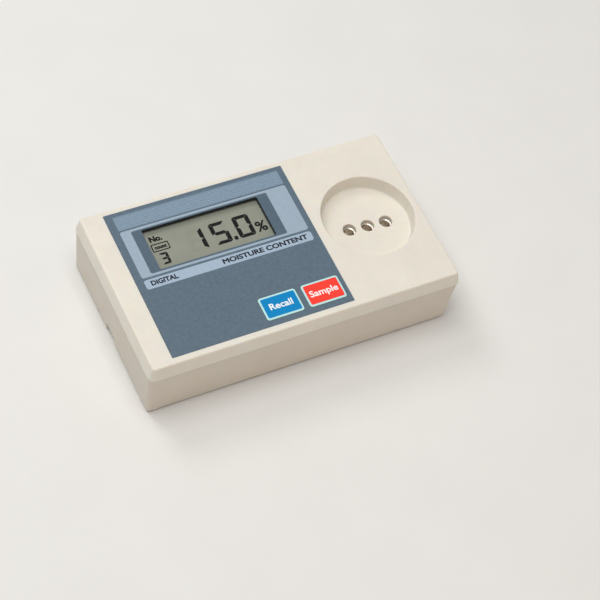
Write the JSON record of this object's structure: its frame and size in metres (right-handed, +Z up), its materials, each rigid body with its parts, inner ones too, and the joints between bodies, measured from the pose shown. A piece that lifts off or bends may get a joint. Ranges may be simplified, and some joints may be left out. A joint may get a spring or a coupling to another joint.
{
  "type": "grain moisture meter",
  "caption": "Bench-top grain moisture meter: ivory two-part case with a recessed display, two push keys, a round sample well with three contact sockets and a sliding battery door.",
  "frame": {"origin": "on the table under the middle of the case, at the height of the feet", "axes": "+X along the case from the display side to the sample well, +Y from the keys to the back edge, +Z up"},
  "size_m": [0.16, 0.0918, 0.0378],
  "materials": {
    "upper_case": "warm ivory ABS, very fine spark texture",
    "lower_case": "warm ivory ABS, very fine spark texture",
    "battery_door": "warm ivory ABS, very fine spark texture",
    "screw_steel": "bright zinc plated",
    "foot_rubber": "matt moulded",
    "overlay_film": "screen-printed polyester film, fine velvet texture",
    "clear_window": "clear acrylic, polished",
    "average_key": "printed film key, blue with pale outline",
    "measure_key": "printed film key, red with pale outline",
    "plunger_plastic": "natural acetal",
    "switch_stem": "black nylon",
    "switch_body": "black nylon",
    "lcd_glass": "polarised display glass, satin",
    "lcd_rear": "display glass",
    "reflector": "matt foil",
    "zebra_rubber": "layered conductive silicone",
    "bezel_plastic": "black ABS",
    "board_laminate": "green solder mask",
    "chip_plastic": "moulded epoxy",
    "crystal_can": "nickel-plated can",
    "capacitor_case": "sleeved aluminium",
    "header_plastic": "natural nylon",
    "socket_metal": "nickel-plated brass, turned",
    "lead_grey": "PVC insulated wire",
    "battery_case": "painted steel jacket",
    "battery_metal": "plated snap contacts",
    "snap_plastic": "moulded vinyl",
    "lead_red": "PVC insulated wire",
    "lead_black": "PVC insulated wire",
    "pad_foam": "closed-cell foam"
  },
  "bodies": {
    "root": {"upper_case": "upper_case", "lower_case": "lower_case", "case_screws": "screw_steel", "rubber_feet": "foot_rubber", "graphic_overlay": "overlay_film", "display_window": "clear_window", "average_switch_body": "switch_body", "measure_switch_body": "switch_body", "lcd_front_glass": "lcd_glass", "lcd_rear_glass": "lcd_rear", "lcd_reflector": "reflector", "zebra_strips": "zebra_rubber", "lcd_bezel": "bezel_plastic", "main_board": "board_laminate", "board_screws": "screw_steel", "microcontroller": "chip_plastic", "crystal": "crystal_can", "capacitors": "capacitor_case", "sensor_header": "header_plastic", "battery_header": "header_plastic", "left_contact_socket": "socket_metal", "centre_contact_socket": "socket_metal", "right_contact_socket": "socket_metal", "contact_board": "board_laminate", "contact_board_screws": "screw_steel", "contact_header": "header_plastic", "sensor_leads": "lead_grey", "battery": "battery_case", "battery_terminals": "battery_metal", "battery_snap": "snap_plastic", "red_battery_lead": "lead_red", "black_battery_lead": "lead_black", "battery_pad": "pad_foam"},
    "average_key": {"average_key_cap": "average_key", "average_key_plunger": "plunger_plastic", "average_switch_stem": "switch_stem"},
    "measure_key": {"measure_key_cap": "measure_key", "measure_key_plunger": "plunger_plastic", "measure_switch_stem": "switch_stem"},
    "battery_door": {"battery_door": "battery_door"}
  },
  "joints": [
    {"name": "average_key_press", "type": "slide", "parent": "root", "child": "average_key", "axis": [0, 0, -1], "range_m": [0, 0.00045], "stiffness_N_per_m": 1500, "springref_m": -0.0004},
    {"name": "measure_key_press", "type": "slide", "parent": "root", "child": "measure_key", "axis": [0, 0, -1], "range_m": [0, 0.00045], "stiffness_N_per_m": 1500, "springref_m": -0.0004},
    {"name": "battery_door_slide", "type": "slide", "parent": "root", "child": "battery_door", "axis": [-1, 0, 0], "range_m": [0, 0.062]}
  ]
}
